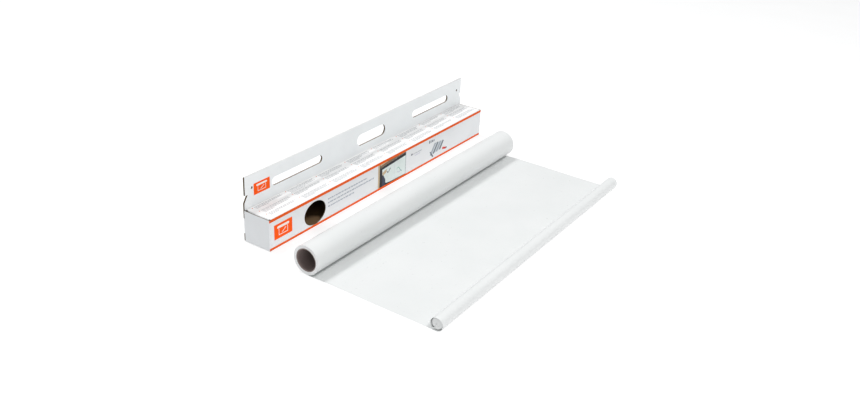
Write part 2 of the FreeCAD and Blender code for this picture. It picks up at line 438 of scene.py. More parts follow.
def fix_normals(o):
    import bmesh
    bm = bmesh.new()
    bm.from_mesh(o.data)
    bmesh.ops.recalc_face_normals(bm, faces=bm.faces)
    bm.to_mesh(o.data)
    bm.free()


def spans(loops, v):
    """Where the line at height v lies inside the outline and outside the holes."""
    xs = []
    for lp in loops:
        for (a, b), (c, d) in zip(lp, lp[1:] + lp[:1]):
            if (b <= v) != (d <= v):
                xs.append(a + (v - b) * (c - a) / (d - b))
    xs.sort()
    return list(zip(xs[0::2], xs[1::2]))


def flutes(name, place, outline, holes, h0, h1, swap=False, phase=0.0, inset=0.12):
    """The corrugated medium between two liners, from height h0 up to h1.

    Flutes run along u (along v with swap); closed ribbons of 0.17 mm paper."""
    if swap:
        outline = [(b, a) for a, b in outline]
        holes = [[(b, a) for a, b in h] for h in holes]
    loops = [list(outline)] + [list(h) for h in holes]
    v0 = min(p[1] for p in outline)
    v1 = max(p[1] for p in outline)
    tm = 0.17
    mid, amp = (h0 + h1) / 2, (h1 - h0 - tm) / 2
    step = FLUTE / 9
    n = max(2, int((v1 - v0 - 0.02) / step))
    vk = [v0 + 0.01 + (v1 - v0 - 0.02) * k / n for k in range(n + 1)]
    verts, faces = [], []
    last = None
    for k, v in enumerate(vk):
        sp = [(a + inset, b - inset) for a, b in spans(loops, v) if b - a > 3 * inset]
        ph = 2 * math.pi * (v + phase) / FLUTE
        h = mid + amp * math.sin(ph)
        sl = amp * math.cos(ph) * 2 * math.pi / FLUTE
        q = math.hypot(1, sl)
        dv, dh = -sl / q * tm / 2, 1 / q * tm / 2
        rows = []
        for a, b in sp:
            i = len(verts)
            for (uu, s) in ((a, 1), (b, 1), (b, -1), (a, -1)):
                p = (uu, v + s * dv)
                if swap:
                    p = (p[1], p[0])
                verts.append(place(*p, h + s * dh))
            rows.append((i, a, b))
        matched = []
        if last:
            for i, a, b in last:
                hit = [r for r in rows if r[1] < b and r[2] > a]
                if len(hit) == 1 and sum(1 for r in last if r[1] < hit[0][2] and r[2] > hit[0][1]) == 1:
                    j = hit[0][0]
                    for c in range(4):
                        d = (c + 1) % 4
                        faces.append((i + c, i + d, j + d, j + c))
                    matched.append((i, j))
            for i, a, b in last:
                if i not in [m[0] for m in matched]:
                    faces.append((i, i + 1, i + 2, i + 3))
        for j, a, b in rows:
            if j not in [m[1] for m in matched]:
                faces.append((j, j + 3, j + 2, j + 1))
        last = rows
    for i, a, b in last or []:
        faces.append((i, i + 1, i + 2, i + 3))
    o = make(name, verts, faces, ["medium"], smooth=True)
    fix_normals(o)
    for p in o.data.polygons:
        p.use_smooth = True
    return o


def join(name, objs):
    """Several meshes as one piece, keeping their materials."""
    mats, verts, faces, index, smooth = [], [], [], [], []
    for o in objs:
        base = len(verts)
        remap = []
        for m in o.data.materials:
            if m not in mats:
                mats.append(m)
            remap.append(mats.index(m))
        verts += [tuple(v.co) for v in o.data.vertices]
        for p in o.data.polygons:
            faces.append(tuple(i + base for i in p.vertices))
            index.append(remap[p.material_index] if remap else 0)
            smooth.append(p.use_smooth)
        me = o.data
        bpy.data.objects.remove(o)
        bpy.data.meshes.remove(me)
    me = bpy.data.meshes.new(name)
    me.from_pydata(verts, [], faces)
    for m in mats:
        me.materials.append(m)
    me.polygons.foreach_set("material_index", np.asarray(index, np.int32))
    me.polygons.foreach_set("use_smooth", np.asarray(smooth, bool))
    me.update()
    o = bpy.data.objects.new(name, me)
    bpy.context.scene.collection.objects.link(o)
    return o


TL = 0.24       # a liner's thickness


def board(name, place, outline, holes=(), regions=(), mats=("whiteZ",), swap=False,
          t=1.5, phase=0.0):
    """A corrugated panel: printed outer liner, fluted medium, kraft inner liner.

    Height 0 is the printed face and -t the inner face."""
    ax = 1 if swap else 0
    a = liner("a", place, outline, holes, 0.0, TL, regions, mats, along=ax)
    b = liner("b", place, outline, holes, -t + TL, TL, (), ("kraft",), along=ax)
    c = flutes("c", place, outline, holes, -t + TL + 0.01, -TL - 0.01, swap, phase)
    return join(name, [a, b, c])


def fold_strip(name, c, a0, a1, w0, w1, place, segs=12, t=1.5, e0=0.0, e1=0.0,
               bands=None, mats=("white",), smooth=True):
    """A scored fold: the outer liner turns about c from angle a0 to a1, over a
    crushed filling.  w0..w1 is its length along the crease; e0 and e1 continue
    it flat.  bands(k, w) gives the material of segment k at length w."""
    ws = [w0, w1]
    if bands:
        ws = sorted(set([w0, w1] + [w for w in bands[0] if w0 < w < w1]))

    def pts(r):
        out = []
        q0, q1 = math.radians(a0), math.radians(a1)
        s = 1 if a1 > a0 else -1
        if e0:
            out.append((c[0] + r * math.cos(q0) + e0 * s * math.sin(q0),
                        c[1] + r * math.sin(q0) - e0 * s * math.cos(q0)))
        for i in range(segs + 1):
            q = q0 + (q1 - q0) * i / segs
            out.append((c[0] + r * math.cos(q), c[1] + r * math.sin(q)))
        if e1:
            out.append((c[0] + r * math.cos(q1) - e1 * s * math.sin(q1),
                        c[1] + r * math.sin(q1) + e1 * s * math.cos(q1)))
        return out
    outer, inner = pts(t), pts(t - TL)
    core = pts(0.02)
    m = len(outer)
    verts, faces, index, smooth_f = [], [], [], []
    mats = list(mats) + ["edge", "medium"]
    ne, nm = len(mats) - 2, len(mats) - 1
    for w in ws:
        verts += [place(p[0], p[1], w) for p in outer]
        verts += [place(p[0], p[1], w) for p in inner]
    for j in range(len(ws) - 1):
        o0, o1 = j * 2 * m, (j + 1) * 2 * m
        for k in range(m - 1):
            faces.append((o0 + k, o0 + k + 1, o1 + k + 1, o1 + k))
            index.append(bands[1](k, (ws[j] + ws[j + 1]) / 2, m - 1) if bands else 0)
            smooth_f.append(True)
            faces.append((o0 + m + k, o1 + m + k, o1 + m + k + 1, o0 + m + k + 1))
            index.append(ne)
            smooth_f.append(True)
        for k in (0, m - 1):
            faces.append((o0 + k, o1 + k, o1 + m + k, o0 + m + k))
            index.append(ne)
            smooth_f.append(False)
    for j in (0, len(ws) - 1):
        o0 = j * 2 * m
        for k in range(m - 1):
            faces.append((o0 + k, o0 + k + 1, o0 + m + k + 1, o0 + m + k))
            index.append(ne)
            smooth_f.append(False)
    a = make("a", verts, faces, mats, index, smooth_f)
    fix_normals(a)
    # crushed filling under the liner
    verts, faces = [], []
    fill = [(p[0], p[1]) for p in pts(t - TL - 0.02)]
    ring = fill + core[::-1]
    k = len(ring)
    for w in (w0 + 0.05, w1 - 0.05):
        verts += [place(p[0], p[1], w) for p in ring]
    for i in range(k):
        j = (i + 1) % k
        faces.append((i, j, k + j, k + i))
    h = len(fill)
    for i in range(h - 1):
        faces.append((i, i + 1, k - 2 - i, k - 1 - i))
        faces.append((k + i, k + k - 1 - i, k + k - 2 - i, k + i + 1))
    b = make("b", verts, faces, ["medium"], smooth=False)
    fix_normals(b)
    return join(name, [a, b])


def shade_auto(o, degrees=35):
    """Sharp edges past the given angle, the rest smooth."""
    import bmesh
    bm = bmesh.new()
    bm.from_mesh(o.data)
    bmesh.ops.recalc_face_normals(bm, faces=bm.faces)
    lim = math.radians(degrees)
    for f in bm.faces:
        f.smooth = True
    for e in bm.edges:
        e.smooth = len(e.link_faces) == 2 and e.calc_face_angle(0.0) < lim
    bm.to_mesh(o.data)
    bm.free()


# ----------------------------------------------------- the carton's geometry
lo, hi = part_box("back_panel")
XE = round(hi.x / MM, 3)
HT = round(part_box("header_top_fold")[1].z / MM, 1)
YB = round(hi.y / MM, 3)
lo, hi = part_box("front_panel")
YF, H, XF = round(lo.y / MM, 3), round(hi.z / MM, 3), round(hi.x / MM, 3)
T = 1.5
lo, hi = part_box("top_panel")
XW = round(hi.x / MM, 3)
lo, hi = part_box("header_front_ply")
YP = round(lo.y / MM, 3)
XI, XD = XE - T, XE - T - 0.3 - T

SLOTS = [stadium(-193.5, 84.0, 127.0, 15.0), stadium(206.0, 84.0, 127.0, 15.0),
         stadium(10.8, 83.0, 85.0, 22.0)]
NAILS = [arc((s * 303.5, 91.5), 2.25, 0, 345, 23) for s in (-1, 1)]
WINDOW = oval(-210.9, 26.6, 27.2, 21.6)


HF = T + 0.05            # outer radius of the fold along the header's top


def ply_outline(z0, recess=False):
    xh = XE - 2.0
    right = [(XE, z0)]
    if recess:
        right += [(XE, 14.5), (XE - 7, 14.5), (XE - 7, 42.5), (XE, 42.5)]
    right += [(XE, 69.0), (xh - 6.0, 82.0), (xh, 82.0), (xh, HT - HF)]
    left = [(-a, b) for a, b in right[::-1]]
    return right + left


def greek(u0, u1, v, h, words=(3.2, 9.5), gap=1.25, skip=0.0, seed=1):
    """A line of stand-in text: bars with word spaces, no letters."""
    r = random.Random(seed)
    out, u = [], u0
    while u < u1 - 1.5:
        w = min(r.uniform(*words), u1 - u)
        if r.random() > skip:
            out.append(rect(u, u + w, v - h / 2, v + h / 2))
        u += w + gap
    return out


def dotted(u0, u1, v, h, seed):
    """Finer stand-in text: each word is a row of small marks of mixed height."""
    r = random.Random(seed)
    out, u = [], u0
    while u < u1 - 1.0:
        w = r.uniform(2.6, 8.0)
        e = min(u + w, u1)
        while u < e - 0.3:
            d = r.uniform(0.55, 0.85)
            top = h * r.choice((0.34, 0.34, 0.5))
            low = h * r.choice((0.34, 0.34, 0.5))
            out.append(rect(u, min(u + d, e), v - low, v + top))
            u += d + 0.28
        u += 1.0
    return out


# ---- front panel
front_mats = ["whiteZ", "orangeZ", "stripeZ", "umber", "text", "label_light", "tan", "night", "navy",
              "board", "green", "slate", "slate_mid", "slate_pale", "red", "violet"]
FM = {n: i for i, n in enumerate(front_mats)}
zlo, zhi = T, H - T
reg = [(rect(-XF - 1, XF + 1, zhi - 3.9, zhi + 1), FM["stripeZ"]),
       (rect(-XF - 1, XF + 1, zlo - 1, 5.2), FM["stripeZ"])]


def label(x0, x1, z0, z1, k):
    """A plain label: a drawing of a roll on a wall with its sheet let down."""
    w, h = x1 - x0, z1 - z0
    ink = FM["label_light"]
    a, b = x0 + 0.25 * w, x1 - 0.25 * w
    t, e = z1 - 0.36 * h, z0 + 0.20 * h
    s = 0.040 * h
    return [(round_rect(x0, x1, z0, z1, 0.05 * h, 3), FM["orangeZ"]),
            (round_rect(x0 + 0.17 * w, x1 - 0.17 * w, z1 - 0.33 * h,
                        z1 - 0.17 * h, 0.07 * h, 4), ink),
            (rect(a, a + s, e, t), ink), (rect(b - s, b, e, t), ink),
            (rect(a + s, b - s, e, e + s), ink),
            ([(a + 0.16 * w, e + 0.12 * h), (a + 0.19 * w, e + 0.10 * h),
              (b - 0.09 * w, t - 0.10 * h), (b - 0.12 * w, t - 0.07 * h)], ink)]


reg += label(-310.6, -267.9, 16.3, 43.2, FM)
for i, (u1, v) in enumerate(((-69.0, 39.3), (-49.0, 32.2), (-106.0, 25.1))):
    reg += [(b, FM["text"]) for b in dotted(-177.5, u1, v, 3.1, 40 + i)]
# picture of a board in a plain room: no figure
px0, px1 = -36.5, 50.5
ptop, pbot = zhi - 3.9, 5.2
reg += [
    (rect(px0, px1, pbot, ptop), FM["board"]),
    (rect(px0, px0 + 6.5, pbot, ptop), FM["tan"]),
    (rect(px0 + 5.0, px0 + 6.5, pbot, ptop), FM["night"]),
    ([(px0 + 6.5, ptop - 7.5), (px1, ptop - 0.4), (px1, ptop), (px0 + 6.5, ptop)],
     FM["umber"]),
    ([(px0 + 6.5, ptop - 3.0), (px0 + 30, ptop - 0.6), (px0 + 30, ptop),
      (px0 + 6.5, ptop)], FM["tan"]),
    ([(px0 + 6.5, ptop - 12.5), (px1, ptop - 7.2), (px1, ptop - 0.6),
      (px0 + 6.5, ptop - 7.6)], FM["night"]),
    ([(px0 + 6.5, pbot), (px0 + 24.0, pbot), (px0 + 22.5, pbot + 12),
      (px0 + 16.5, pbot + 22), (px0 + 6.5, pbot + 28)], FM["navy"]),
    ([(px0 + 6.5, pbot), (px0 + 14, pbot), (px0 + 12.5, ptop - 11.5),
      (px0 + 6.5, ptop - 12.3)], FM["night"]),
    ([(px0 + 13, ptop - 18.5), (px0 + 27, ptop - 14.5), (px0 + 25, ptop - 21.5),
      (px0 + 14.5, ptop - 25)], FM["tan"]),
    ([(px0 + 22, pbot), (px1, pbot), (px1, pbot + 0.9), (px0 + 34, pbot + 2.3),
      (px0 + 22, pbot + 4.4)], FM["night"]),
]


def brush(points, w, num):
    """A drawn stroke of width w through the points."""
    left, right = [], []
    for i, p in enumerate(points):
        a = points[max(0, i - 1)]
        b = points[min(len(points) - 1, i + 1)]
        d = math.hypot(b[0] - a[0], b[1] - a[1]) or 1.0
        n = (-(b[1] - a[1]) / d * w / 2, (b[0] - a[0]) / d * w / 2)
        left.append((p[0] + n[0], p[1] + n[1]))
        right.append((p[0] - n[0], p[1] - n[1]))
    return (left + right[::-1], num)


reg.append(brush([(px0 + 27 + 2.2 * i, ptop - 20 - 3.4 * math.sin(0.9 * i))
                  for i in range(6)], 1.5, FM["night"]))
reg.append(brush([(px0 + 58 + 2.0 * i, pbot + 17 + 5.5 * math.sin(0.55 * i + 0.4))
                  for i in range(9)], 1.3, FM["green"]))
reg.append(brush([(px0 + 60 + 2.4 * i, pbot + 12.5 + 1.2 * math.cos(1.3 * i))
                  for i in range(7)], 1.1, FM["violet"]))
reg.append((rect(px0 + 50.2, px0 + 51.0, pbot + 2, ptop - 9.6), FM["slate_pale"]))
reg.append((rect(px1 - 1.0, px1, pbot, ptop), FM["slate"]))
# short mark and a small line beside the picture
reg.append((oval(70.0, 38.2, 2.6, 1.9, 20), FM["slate"]))
reg += [(b, FM["slate_mid"]) for b in dotted(75.0, 103.0, 37.6, 2.6, 71)]
reg += [(b, FM["violet"]) for b in dotted(80.0, 98.0, 33.2, 1.8, 72)]
# drawing of sheets peeled from a pad, with a marker pen
for i in range(7):
    u = 139 + 5.4 * i
    tilt = 26.0 - 1.1 * i
    num = ("slate_mid", "slate_pale", "slate", "slate_pale", "slate_mid",
           "slate_pale", "slate")[i]
    reg.append(([(u - 6.5, 15.5 + 0.5 * i), (u - 2.6, 12.9 + 0.5 * i),
                 (u - 2.6 + 0.62 * tilt, 12.9 + 0.5 * i + 0.86 * tilt),
                 (u - 6.5 + 0.62 * tilt, 15.5 + 0.5 * i + 0.86 * tilt)], FM[num]))
reg.append(([(131.5, 22.5), (134.8, 22.5), (146.0, 9.2), (141.5, 8.6)], FM["slate"]))
for i in range(4):
    reg.append((rect(128 + 5.2 * i, 131.6 + 5.2 * i, 41.5, 47.5 - 0.6 * i),
                FM["slate_mid" if i % 2 else "slate"]))
reg.append(([(176, 14.5), (189, 11.5), (190.5, 15.5), (178, 19.0)], FM["red"]))
reg.append(([(189, 11.3), (193.5, 12.6), (194, 14.6), (190.5, 15.7)], FM["slate"]))

front = board("front_panel_board", lambda u, v, h: (u, YF - h, v),
              rect(-XF, XF, zlo, zhi), [WINDOW], reg, front_mats)


def wrap_place(a, b, w):
    return (w, a, b)


def stripe_low(k, w, m):
    return 1 if k < m / 2 else 0


f1 = fold_strip("f1", (YF + T, T), 180, 270, -XW, XW, wrap_place,
                bands=([], stripe_low), mats=("white", "stripe"))
# the upper bend takes the lighter white, painted light on a face turning up
f2 = fold_strip("f2", (YF + T, H - T), 180, 90, -XW, XW, wrap_place,
                bands=([], stripe_low), mats=("bright", "stripe"))
piece_front = join("front_panel_print", [front, f1, f2])
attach(piece_front, "carton")
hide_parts("front_panel")

# ---- bottom panel
piece_bottom = board("bottom_panel_board", lambda u, v, h: (u, v, -h),
                     rect(-XW, XW, YF + T, YB - T), mats=("whiteY",))
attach(piece_bottom, "carton")
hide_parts("bottom_panel")

# ---- top panel, with columns of small stand-in text
# the top panel's white is the lighter copy: painted light
top_mats = ["brightY", "bullet", "text_soft", "text"]
treg = []
for col in range(8):
    x0 = -308.5 + 78.6 * col
    for row, y in enumerate((22.2, 6.8, -8.6)):
        r = random.Random(100 + 10 * col + row)
        treg.append((oval(x0 + 1.2, y - 1.0, 1.15, 1.15, 14), 1))
        lines = r.choice((3, 4, 4))
        for k in range(lines):
            full = 60.0 if k < lines - 1 else r.uniform(16, 44)
            yy = y - 1.0 - 2.95 * k
            for b in greek(x0 + 4.6, x0 + 4.6 + full * r.uniform(0.96, 1.10), yy, 1.35,
                           (4.0, 12.0), 0.9, 0.0, r.randrange(9999)):
                treg.append((b, 2))
piece_top = board("top_panel_board", lambda u, v, h: (u, v, H + h),
                  rect(-XW, XW, YF + T, YP), regions=treg, mats=top_mats)
# the valley score at the header's foot, with its bead of pressed liner
rv = 0.7
vv, ff = [], []
prof = [(YP - rv + rv * math.sin(math.radians(a)), H + rv - rv * math.cos(math.radians(a)))
        for a in range(0, 91, 10)]
prof = [(YP - rv - 0.5, H + 0.004)] + prof + [(YP - 0.004, H + rv + 0.5)]
low = [(YP - rv - 0.5, H - 0.3), (YP + 0.3, H - 0.3), (YP + 0.3, H + rv + 0.5)]
ringp = prof + low[::-1]
nr = len(ringp)
for w in (-XW, XW):
    vv += [(w, a, b) for a, b in ringp]
ff += [(i, (i + 1) % nr, nr + (i + 1) % nr, nr + i) for i in range(nr)]
ff += [tuple(range(nr))[::-1], tuple(range(nr, 2 * nr))]
# the bead takes the lighter white, painted light
bead = make("bead", vv, ff, ["bright"], smooth=False)
fix_normals(bead)
for p in bead.data.polygons:
    p.use_smooth = len(p.vertices) == 4
piece_top = join("top_panel_print", [piece_top, bead])
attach(piece_top, "carton")
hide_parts("top_panel")

# ---- header: front ply and the back panel behind it
# the header's face takes its lighter copy of the white: painted light
head_mats = ["headZ"] + front_mats[1:]
hreg = label(-299.2, -261.8, 76.0, 96.6, FM)
ply = board("ply", lambda u, v, h: (u, YP - h, v),
                  ply_outline(H), SLOTS + NAILS, hreg, head_mats)
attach(ply, "carton")
ply.name = "header_front_ply_print"
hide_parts("header_front_ply")
# the sheet turns right over along the header's top
# it takes the lighter white, painted light on a face turned up
turn = fold_strip("header_top_fold_score", (YP + HF, HT - HF), 180, 0,
                  -XE + 2.0, XE - 2.0, wrap_place, segs=20, t=HF, mats=("bright",))
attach(turn, "carton")
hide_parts("header_top_fold")

back = board("back", lambda u, v, h: (u, YB + h, v), ply_outline(T, True),
             SLOTS + NAILS, (), ("whiteZ",), phase=0.8)
f3 = fold_strip("f3", (YB - T, T), 0, -90, -XW, XW, wrap_place, mats=("white",))
piece_back = join("back_panel_board", [back, f3])
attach(piece_back, "carton")
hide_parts("back_panel")

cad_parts["header_adhesive"].data.materials.clear()
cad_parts["header_adhesive"].data.materials.append(MATS["adhesive"])

# ---- the two ends
TAB_TILT = math.radians(20.0)
td = (math.cos(TAB_TILT), -math.sin(TAB_TILT))
tn = (math.sin(TAB_TILT), math.cos(TAB_TILT))
Z0, Z1 = 0.5, 56.2
Y0E, Y1E = YF + T + 0.6, YB - T - 0.3
for side, s in (("left", -1), ("right", 1)):
    # end panel: u runs along y, v is z; its printed face points outward
    outline = [(Y0E, Z0), (Y1E - 1.2, Z0), (Y1E, Z0 + 1.2), (Y1E, Z1 - 1.2),
               (Y1E - 1.2, Z1), (Y0E, Z1)]
    o = board("end_panel_" + side + "_board",
              (lambda s: lambda u, v, h: (s * (XE + h), u, v))(s),
              outline, mats=("whiteZ",))
    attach(o, "end_" + side)
    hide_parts("end_panel_" + side)

    # its score: stripes run on round the corner to the middle of the bend
    def corner(k, w, m):
        return 1 if (k <= m / 2 and (w < 5.2 or w > zhi - 3.9)) else 0
    o = fold_strip("end_fold_" + side + "_score", (-XI, YF + T), 270, 180, Z0, Z1,
                   (lambda s: lambda a, b, w: (-s * a if s > 0 else a, b, w))(s),
                   e0=0.55, e1=0.6, bands=([5.2, zhi - 3.9], corner),
                   mats=("white", "stripe"))
    fix_normals(o)
    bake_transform(o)
    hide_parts("end_fold_" + side)

    # tab: u along the tab from its score, v is z
    def tab_place(u, v, h, s=s):
        a = T + h
        x = -XI + u * td[0] + a * tn[0]
        y = YB - T + u * td[1] + a * tn[1]
        return (-s * x if s > 0 else x, y, v)
    r = 4.0
    outline = ([(0.3, 15.5)] + arc((14 - r, 15.5 + r), r, -90, 0, 6)
               + arc((14 - r, 41.5 - r), r, 0, 90, 6) + [(0.3, 41.5)])
    o = board("end_tab_" + side + "_board", tab_place, outline, mats=("white",))
    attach(o, "tab_" + side)
    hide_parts("end_tab_" + side)
    o = fold_strip("tab_fold_" + side + "_score", (-XI, YB - T), 180, 70, 15.5, 41.5,
                   (lambda s: lambda a, b, w: (-s * a if s > 0 else a, b, w))(s),
                   e0=0.28, e1=0.28, mats=("white",))
    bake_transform(o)
    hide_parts("tab_fold_" + side)

    # dust flaps: u is y, v the distance from the score
    ya = YF + T + 0.9
    for which, zc, up in (("top", H - T, -1), ("bottom", T, 1)):
        outline = [(ya, 0.3), (20.0, 0.3), (17.0, 25.0), (ya + 24.7, 25.0)]
        o = board("dust_flap_%s_%s_board" % (which, side),
                  (lambda s, zc, up: lambda u, v, h: (s * (XD + T + h), u, zc + up * v))(s, zc, up),
                  outline, mats=("whiteY",), swap=True)
        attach(o, "dust_%s_%s" % (which, side))
        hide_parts("dust_flap_%s_%s" % (which, side))
        # section in x, z; the crease runs along y
        o = fold_strip("dust_fold_%s_%s_score" % (which, side), (-XD, zc),
                       90 if up < 0 else 270, 180, ya, 20.0,
                       (lambda s: lambda a, b, w: (-s * a if s > 0 else a, w, b))(s),
                       e0=0.28, e1=0.28, mats=("white",))
        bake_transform(o)
        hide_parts("dust_fold_%s_%s" % (which, side))

# --------------------------------------------------------- roll, core, film
lo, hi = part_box("film_roll")
FX0, FX1 = lo.x / MM, hi.x / MM
ROLL_R = (hi.z - lo.z) / 2 / MM
RY, RZ = (hi.y + lo.y) / 2 / MM, (hi.z + lo.z) / 2 / MM
lo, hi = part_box("core_tube")
CORE_R = (hi.z - lo.z) / 2 / MM
CORE_IN = 18.4
FW = FX1 - FX0


def grid_tube(name, rows, mats, index, closed=True, sharp=30):
    """rows: lists of points of equal length, joined one to the next."""
    n = len(rows[0])
    verts = [p for r in rows for p in r]
    faces, idx = [], []
    m = len(rows)
    for j in range(m if closed else m - 1):
        k = (j + 1) % m
        for i in range(n):
            q = (i + 1) % n
            faces.append((j * n + i, j * n + q, k * n + q, k * n + i))
            idx.append(index(j))
    o = make(name, verts, faces, mats, idx, smooth=True)
    shade_auto(o, sharp)
    return o


NT = 192
angles = np.linspace(0, 2 * math.pi, NT, endpoint=False)

# the wound film: a profile of (x, r) points turned round the roll's axis.
# Its end faces step in and out by a few hundredths where turns slipped.
turns = 46
slip0 = np.cumsum(rng.normal(0, 0.028, turns))
slip0 -= np.linspace(slip0[0], slip0[-1], turns)
slip1 = np.cumsum(rng.normal(0, 0.028, turns))
slip1 -= np.linspace(slip1[0], slip1[-1], turns)
rr = np.linspace(CORE_R + 0.02, ROLL_R - 0.05, turns)
prof, kind = [], []
for k in range(turns):          # near end, from the core out
    d = 0.10 + abs(slip0[k])
    prof += [(FX0 + d + 0.05, rr[k] - 0.045), (FX0 + d, rr[k] + 0.02)]
    kind += [1, 1]
prof.append((FX0 + 0.30, ROLL_R))
kind.append(0)
xs = np.concatenate([np.linspace(FX0 + 2.0, FX1 - 9.0, 66),
                     np.linspace(FX1 - 8.0, FX1 - 1.0, 15)])
for x in xs:
    step = 0.10 * float(ease((x - (FX1 - 7.0)) / 0.8)) \
        + 0.12 * float(ease((x - (FX1 - 3.0)) / 0.6))
    prof.append((x, ROLL_R - step))
    kind.append(0)
prof.append((FX1 - 0.30, ROLL_R - 0.22))
kind.append(1)
for k in range(turns - 1, -1, -1):
    d = 0.10 + abs(slip1[k])
    prof += [(FX1 - d, rr[k] + 0.02), (FX1 - d - 0.05, rr[k] - 0.045)]
    kind += [1, 1]
kind[-1] = 1
rows = []
for (x, r) in prof:
    outer = r > ROLL_R - 0.25 and FX0 + 0.2 < x < FX1 - 0.2
    pts = []
    for a in angles:
        # a very slight lack of roundness of the outer face, its lobes turning slowly along the roll
        q = r
        if outer:
            q = r - 0.05 + 0.03 * math.sin(2 * a + 0.008 * x) \
                + 0.02 * math.sin(3 * a - 0.021 * x + 1.0) - 0.02
        pts.append((x, RY + q * math.cos(a), RZ + q * math.sin(a)))
    rows.append(pts)
roll = grid_tube("film_roll_wound", rows, ["film", "film_edge"], lambda j: kind[j],
                 sharp=40)
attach(roll, "roll")
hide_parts("film_roll")

# the core: spiral-wound paper, with the open butt seam of its inner ply
def helix_gap(x, a, lead, width, depth, start):
    """Depth of a narrow seam that winds along the tube."""
    ph = (x / lead + start - a / (2 * math.pi)) % 1.0
    d = min(ph, 1 - ph) * lead
    return depth * math.exp(-(d / width) ** 2)


rows, kinds = [], []
NX = 300
NC = 144
ca = np.linspace(0, 2 * math.pi, NC, endpoint=False)
inner_x = np.linspace(FX0 + 0.4, FX1 - 0.4, NX)
plies = 5
edge0 = [(FX0 + 0.35 + 0.12 * (k % 2) + 0.05 * rng.random(),
          CORE_IN + (CORE_R - CORE_IN) * (k + 0.5) / plies) for k in range(plies)]
for x in inner_x[::-1]:
    rows.append([(x, RY + (CORE_IN + helix_gap(x, a, 62.0, 0.55, 0.22, 0.1)) * math.cos(a),
                  RZ + (CORE_IN + helix_gap(x, a, 62.0, 0.55, 0.22, 0.1)) * math.sin(a))
                 for a in ca])
    kinds.append(0)
for x, r in edge0:
    rows.append([(x + 0.05 * math.sin(5 * a + r * 9), RY + r * math.cos(a),
                  RZ + r * math.sin(a)) for a in ca])
    kinds.append(1)
for x in (FX0 + 0.45, FX1 - 0.45):
    rows.append([(x, RY + (CORE_R - 0.01) * math.cos(a), RZ + (CORE_R - 0.01) * math.sin(a))
                 for a in ca])
    kinds.append(0)
for x, r in edge0[::-1]:
    rows.append([(FX0 + FX1 - x + 0.05 * math.sin(4 * a + r * 7), RY + r * math.cos(a),
                  RZ + r * math.sin(a)) for a in ca])
    kinds.append(1)
core = grid_tube("core_tube_paper", rows, ["core", "core_edge"], lambda j: kinds[j], sharp=35)
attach(core, "roll")
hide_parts("core_tube")

# the loose web: a lead that leaves the roll, the flat sheet, and the curl
TF = 0.10       # thickness shown
Y_SPLIT = RY - 10.7
CURL_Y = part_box("film_sheet")[0].y / MM


def web(name, path, nx, mat="film", xfun=None, xs=None):
    """A thin closed strip along path(x) -> list of (y, z) centre points."""
    xs = xs or [FX0 + FW * i / nx for i in range(nx + 1)]
    nx = len(xs) - 1
    top, bot = [], []
    for x in xs:
        p = path(x)
        m = len(p)
        for i in range(m):
            a, b = p[max(0, i - 1)], p[min(m - 1, i + 1)]
            d = math.hypot(b[0] - a[0], b[1] - a[1]) or 1.0
            n = (-(b[1] - a[1]) / d, (b[0] - a[0]) / d)
            xx = x if xfun is None else xfun(x, i / (m - 1))
            top.append((xx, p[i][0] + n[0] * TF / 2, p[i][1] + n[1] * TF / 2))
            bot.append((xx, p[i][0] - n[0] * TF / 2, p[i][1] - n[1] * TF / 2))
    k = len(top)
    faces = []
    for j in range(nx):
        for i in range(m - 1):
            a, b, c, d = j * m + i, j * m + i + 1, (j + 1) * m + i + 1, (j + 1) * m + i
            faces.append((a, b, c, d))
            faces.append((k + a, k + d, k + c, k + b))
    for j in range(nx):
        for i in (0, m - 1):
            a, d = j * m + i, (j + 1) * m + i
            faces.append((a, d, k + d, k + a) if i == 0 else (a, k + a, k + d, d))
    for i in range(m - 1):
        for j in (0, nx):
            a, b = j * m + i, j * m + i + 1
            faces.append((a, k + a, k + b, b) if j == 0 else (a, b, k + b, k + a))
    o = make(name, top + bot, faces, [mat], smooth=True)
    shade_auto(o, 60)
    return o


ZS = TF / 2 + 0.01


def swell(x, y):
    """Slight lift of the lying film; nothing at its two ends."""
    t = (y - CURL_Y) / (Y_SPLIT - CURL_Y)
    keep = ease(t / 0.22) * ease((1 - t) / 0.16)
    u = (x - FX0) / FW
    w = 0.34 * math.sin(5.1 * u + 2.2 * t + 0.4) + 0.24 * math.sin(11.3 * u - 3.1 * t) \
        + 0.18 * math.sin(7.7 * t + 3.0 * u + 1.9)
    edge = 0.5 * math.exp(-(u / 0.03) ** 2) * math.sin(9.0 * t + 0.6) \
        + 0.4 * math.exp(-((1 - u) / 0.03) ** 2) * math.sin(8.0 * t + 2.0)
    return keep * max(0.0, 0.42 + w + edge)


NY = 96


def sheet_path(x):
    out = []
    for i in range(NY + 1):
        y = CURL_Y + (Y_SPLIT - CURL_Y) * i / NY
        out.append((y, ZS + swell(x, y)))
    return out[::-1]


sheet = web("film_sheet_flat", sheet_path, 150)
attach(sheet, "film")
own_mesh(sheet)
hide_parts("film_sheet")


def lead_path(x):
    """From just behind the line of contact down to the lying sheet."""
    out = []
    rb = ROLL_R + 0.02
    for a in np.linspace(10, 0, 8):
        q = math.radians(a)
        out.append((RY + rb * math.sin(q), RZ - rb * math.cos(q)))
    z0 = RZ - rb
    for t in np.linspace(0, 1, 13)[1:]:
        out.append((RY + (Y_SPLIT - RY) * t, z0 + (ZS - z0) * float(ease(t))))
    return out


lead = web("film_lead_strip", lead_path, 60)
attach(lead, "lead")
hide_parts("film_lead")

R1 = 11.2


TURNS = 2.14
CURL_LEN = 0.0


